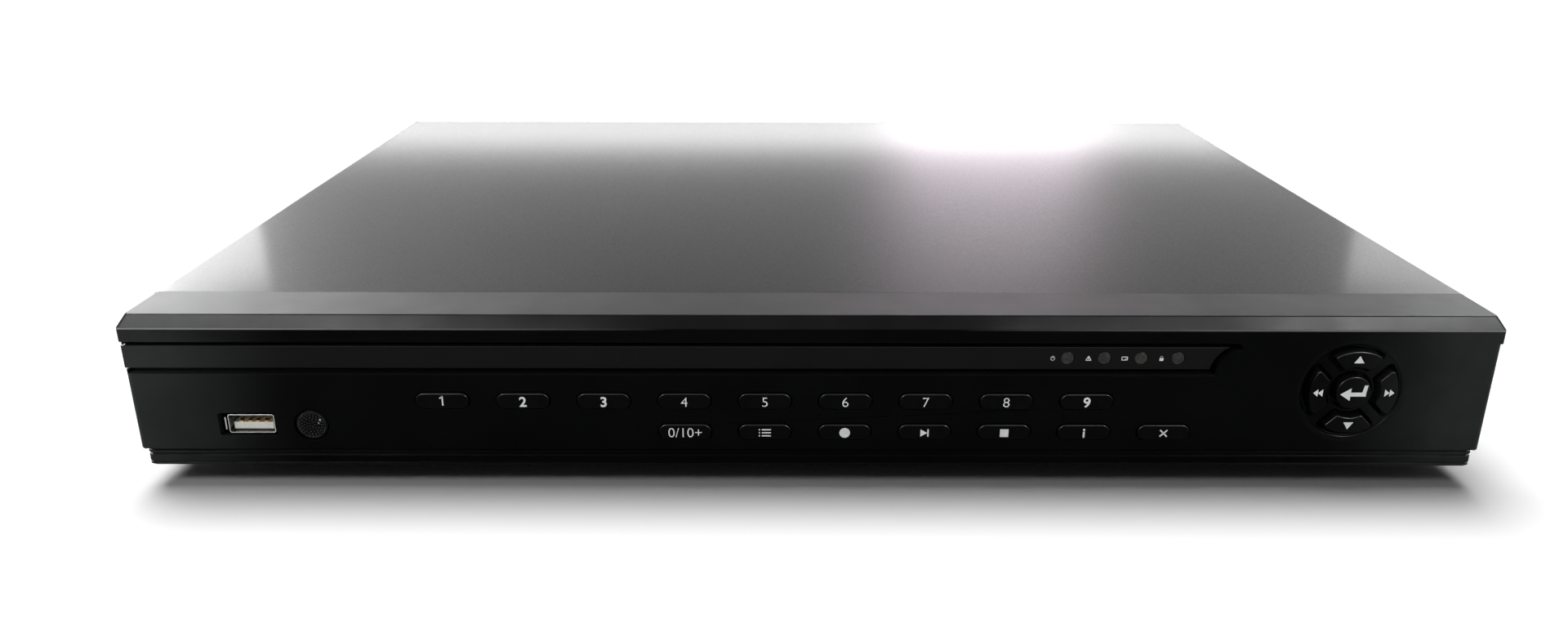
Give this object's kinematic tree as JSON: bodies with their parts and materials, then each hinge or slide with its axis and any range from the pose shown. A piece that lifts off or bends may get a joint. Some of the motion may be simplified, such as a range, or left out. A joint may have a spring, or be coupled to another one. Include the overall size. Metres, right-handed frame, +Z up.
{
  "type": "hybrid digital video recorder",
  "caption": "Low wide video recorder: steel case, black moulded front with oval keys, direction pad, indicator strip and USB socket, video and network sockets at the rear.",
  "frame": {"origin": "middle of the footprint, on the plane that the feet stand on", "axes": "+X to the right of someone facing the front, +Y to the back, +Z up"},
  "size_m": [0.38, 0.2892, 0.052],
  "materials": {
    "black_moulding": "satin moulded black",
    "black_key": "satin moulded black with light printed signs",
    "grey_strip": "matt charcoal",
    "clear_lens": "frosted clear",
    "dark_lens": "smoked translucent",
    "circuit_board": "solder-masked laminate",
    "bright_steel": "nickel plated",
    "white_plastic": "moulded white",
    "black_plastic": "moulded black",
    "green_plastic": "moulded green",
    "black_steel": "blackened",
    "zinc_steel": "zinc plated",
    "coated_steel": "fine powder coat, dark grey",
    "rubber": "moulded",
    "cast_alloy": "satin",
    "cable": "satin sheath"
  },
  "bodies": {
    "recorder": {"front_bezel": "black_moulding", "indicator_strip": "grey_strip", "led_light_guide": "clear_lens", "remote_window": "dark_lens", "front_board": "circuit_board", "front_usb_shell": "bright_steel", "front_usb_tongue": "white_plastic", "fan_frame": "black_plastic", "video_input_block": "bright_steel", "audio_block": "black_plastic", "monitor_port": "bright_steel", "digital_video_port": "bright_steel", "rear_usb_port": "bright_steel", "network_port": "bright_steel", "terminal_block": "green_plastic", "power_jack": "black_plastic", "power_switch_housing": "black_plastic", "ground_screw": "bright_steel", "cover_screw_1": "black_steel", "cover_screw_2": "black_steel", "cover_screw_3": "black_steel", "chassis_pan": "zinc_steel", "front_wall": "zinc_steel", "rear_panel": "zinc_steel", "top_cover": "coated_steel", "foot_1": "rubber", "foot_2": "rubber", "foot_3": "rubber", "foot_4": "rubber", "hard_drive_1": "cast_alloy", "hard_drive_2": "cast_alloy", "mainboard": "circuit_board", "heatsink": "cast_alloy", "front_panel_cable": "cable", "drive_cable_1": "cable", "drive_cable_2": "cable", "fan_cable": "cable"},
    "key_1": {"key_1": "black_key"},
    "key_2": {"key_2": "black_key"},
    "key_3": {"key_3": "black_key"},
    "key_4": {"key_4": "black_key"},
    "key_5": {"key_5": "black_key"},
    "key_6": {"key_6": "black_key"},
    "key_7": {"key_7": "black_key"},
    "key_8": {"key_8": "black_key"},
    "key_9": {"key_9": "black_key"},
    "key_0": {"key_0": "black_key"},
    "menu_key": {"menu_key": "black_key"},
    "record_key": {"record_key": "black_key"},
    "play_key": {"play_key": "black_key"},
    "stop_key": {"stop_key": "black_key"},
    "info_key": {"info_key": "black_key"},
    "escape_key": {"escape_key": "black_key"},
    "right_key": {"right_key": "black_key"},
    "up_key": {"up_key": "black_key"},
    "left_key": {"left_key": "black_key"},
    "down_key": {"down_key": "black_key"},
    "enter_key": {"enter_key": "black_key"},
    "fan_rotor": {"fan_rotor": "black_plastic"},
    "power_rocker": {"power_rocker": "black_plastic"}
  },
  "joints": [
    {"name": "key_1_press", "type": "slide", "parent": "recorder", "child": "key_1", "axis": [0, 1, 0], "range_m": [0, 0.0006], "stiffness_N_per_m": 400, "springref_m": -0.0006},
    {"name": "key_2_press", "type": "slide", "parent": "recorder", "child": "key_2", "axis": [0, 1, 0], "range_m": [0, 0.0006], "stiffness_N_per_m": 400, "springref_m": -0.0006},
    {"name": "key_3_press", "type": "slide", "parent": "recorder", "child": "key_3", "axis": [0, 1, 0], "range_m": [0, 0.0006], "stiffness_N_per_m": 400, "springref_m": -0.0006},
    {"name": "key_4_press", "type": "slide", "parent": "recorder", "child": "key_4", "axis": [0, 1, 0], "range_m": [0, 0.0006], "stiffness_N_per_m": 400, "springref_m": -0.0006},
    {"name": "key_5_press", "type": "slide", "parent": "recorder", "child": "key_5", "axis": [0, 1, 0], "range_m": [0, 0.0006], "stiffness_N_per_m": 400, "springref_m": -0.0006},
    {"name": "key_6_press", "type": "slide", "parent": "recorder", "child": "key_6", "axis": [0, 1, 0], "range_m": [0, 0.0006], "stiffness_N_per_m": 400, "springref_m": -0.0006},
    {"name": "key_7_press", "type": "slide", "parent": "recorder", "child": "key_7", "axis": [0, 1, 0], "range_m": [0, 0.0006], "stiffness_N_per_m": 400, "springref_m": -0.0006},
    {"name": "key_8_press", "type": "slide", "parent": "recorder", "child": "key_8", "axis": [0, 1, 0], "range_m": [0, 0.0006], "stiffness_N_per_m": 400, "springref_m": -0.0006},
    {"name": "key_9_press", "type": "slide", "parent": "recorder", "child": "key_9", "axis": [0, 1, 0], "range_m": [0, 0.0006], "stiffness_N_per_m": 400, "springref_m": -0.0006},
    {"name": "key_0_press", "type": "slide", "parent": "recorder", "child": "key_0", "axis": [0, 1, 0], "range_m": [0, 0.0006], "stiffness_N_per_m": 400, "springref_m": -0.0006},
    {"name": "menu_key_press", "type": "slide", "parent": "recorder", "child": "menu_key", "axis": [0, 1, 0], "range_m": [0, 0.0006], "stiffness_N_per_m": 400, "springref_m": -0.0006},
    {"name": "record_key_press", "type": "slide", "parent": "recorder", "child": "record_key", "axis": [0, 1, 0], "range_m": [0, 0.0006], "stiffness_N_per_m": 400, "springref_m": -0.0006},
    {"name": "play_key_press", "type": "slide", "parent": "recorder", "child": "play_key", "axis": [0, 1, 0], "range_m": [0, 0.0006], "stiffness_N_per_m": 400, "springref_m": -0.0006},
    {"name": "stop_key_press", "type": "slide", "parent": "recorder", "child": "stop_key", "axis": [0, 1, 0], "range_m": [0, 0.0006], "stiffness_N_per_m": 400, "springref_m": -0.0006},
    {"name": "info_key_press", "type": "slide", "parent": "recorder", "child": "info_key", "axis": [0, 1, 0], "range_m": [0, 0.0006], "stiffness_N_per_m": 400, "springref_m": -0.0006},
    {"name": "escape_key_press", "type": "slide", "parent": "recorder", "child": "escape_key", "axis": [0, 1, 0], "range_m": [0, 0.0006], "stiffness_N_per_m": 400, "springref_m": -0.0006},
    {"name": "right_key_press", "type": "slide", "parent": "recorder", "child": "right_key", "axis": [0, 1, 0], "range_m": [0, 0.0006], "stiffness_N_per_m": 400, "springref_m": -0.0006},
    {"name": "up_key_press", "type": "slide", "parent": "recorder", "child": "up_key", "axis": [0, 1, 0], "range_m": [0, 0.0006], "stiffness_N_per_m": 400, "springref_m": -0.0006},
    {"name": "left_key_press", "type": "slide", "parent": "recorder", "child": "left_key", "axis": [0, 1, 0], "range_m": [0, 0.0006], "stiffness_N_per_m": 400, "springref_m": -0.0006},
    {"name": "down_key_press", "type": "slide", "parent": "recorder", "child": "down_key", "axis": [0, 1, 0], "range_m": [0, 0.0006], "stiffness_N_per_m": 400, "springref_m": -0.0006},
    {"name": "enter_key_press", "type": "slide", "parent": "recorder", "child": "enter_key", "axis": [0, 1, 0], "range_m": [0, 0.0006], "stiffness_N_per_m": 400, "springref_m": -0.0006},
    {"name": "fan_spin", "type": "hinge", "parent": "recorder", "child": "fan_rotor", "pos_m": [-0.1573, 0.12925, 0.02905], "axis": [0, 1, 0], "continuous": true},
    {"name": "power_rocker_tilt", "type": "hinge", "parent": "recorder", "child": "power_rocker", "pos_m": [0.14944, 0.13475, 0.03005], "axis": [-1, 0, 0], "range_deg": [0, 24]}
  ]
}
